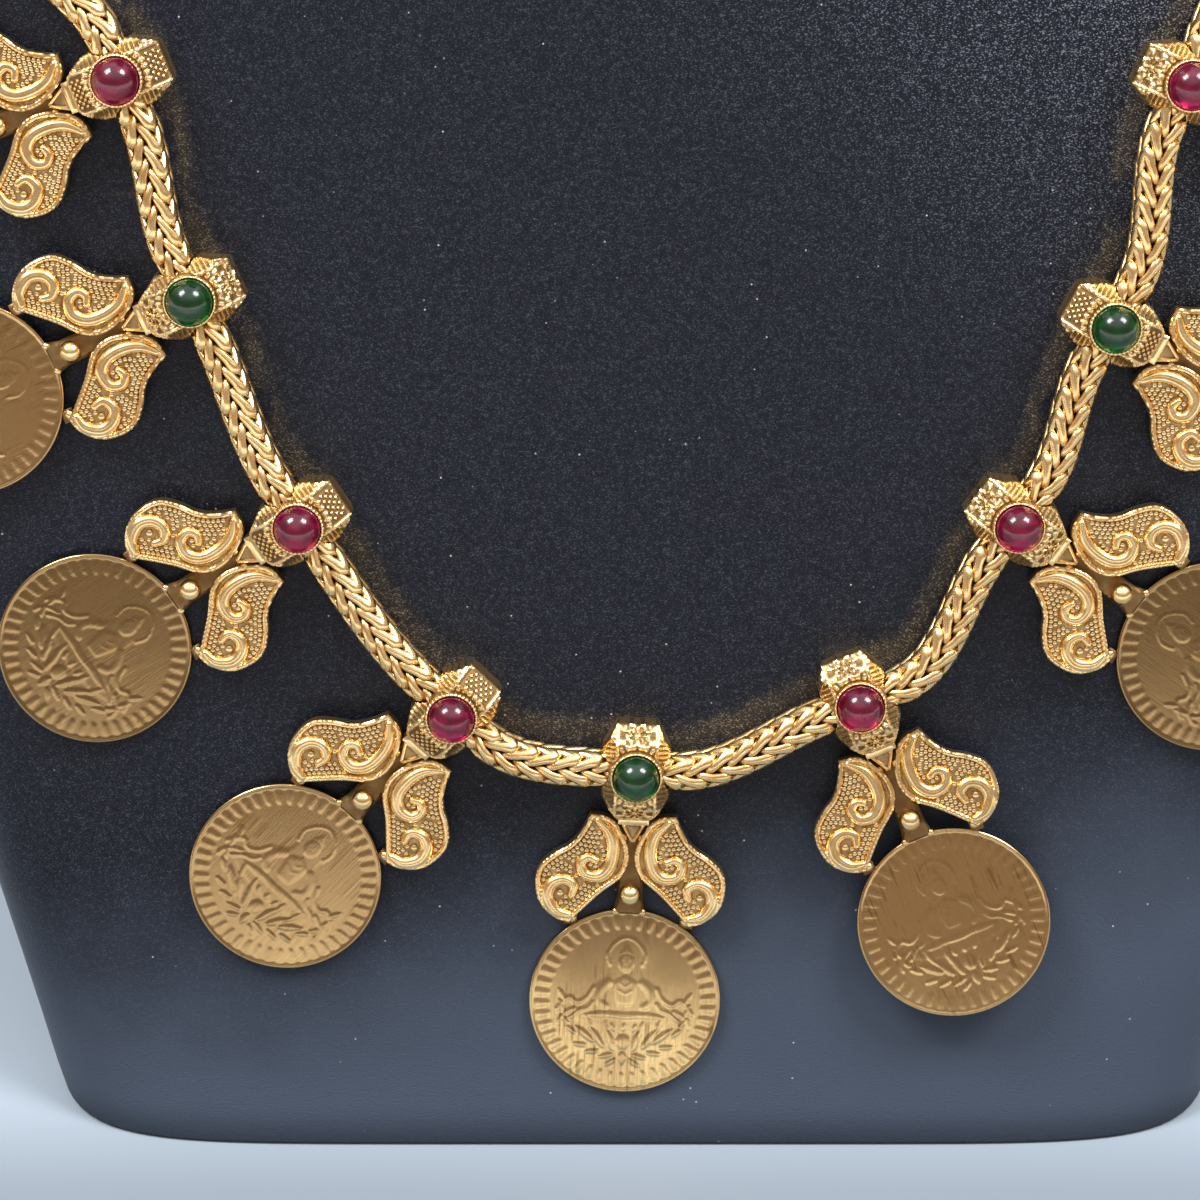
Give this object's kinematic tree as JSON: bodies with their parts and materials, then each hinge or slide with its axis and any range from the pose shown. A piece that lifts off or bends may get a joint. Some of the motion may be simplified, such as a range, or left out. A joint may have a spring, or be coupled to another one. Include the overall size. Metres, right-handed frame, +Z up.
{
  "type": "coin necklace on a neck bust",
  "caption": "Gold woven chain with stone-set coin pendants, each hung from a slide bead by two paisley leaves, on a black leatherette neck bust.",
  "frame": {"origin": "centre of the base board's underside", "axes": "+Z up, the front of the bust and the pendants face -Y, +X is to the right in the picture"},
  "size_m": [0.1752, 0.1181, 0.2],
  "materials": {
    "gold": "antique gold, satin on the coins, polished on the raised work",
    "green_stone": "polished green cabochon",
    "pink_stone": "polished pink-red cabochon",
    "leatherette": "black leatherette with a fine grain",
    "board": "black board, matt"
  },
  "bodies": {
    "root": {"stand": "leatherette", "base_board": "board", "chain": "gold", "clasp": "gold", "pendant_left_4": "gold", "pendant_left_3": "gold", "pendant_left_2": "gold", "pendant_left_1": "gold", "pendant_centre": "gold", "pendant_right_1": "gold", "pendant_right_2": "gold", "pendant_right_3": "gold", "pendant_right_4": "gold", "stone_left_4": "pink_stone", "stone_left_3": "green_stone", "stone_left_2": "pink_stone", "stone_left_1": "pink_stone", "stone_centre": "green_stone", "stone_right_1": "pink_stone", "stone_right_2": "pink_stone", "stone_right_3": "green_stone", "stone_right_4": "pink_stone"}
  },
  "joints": []
}
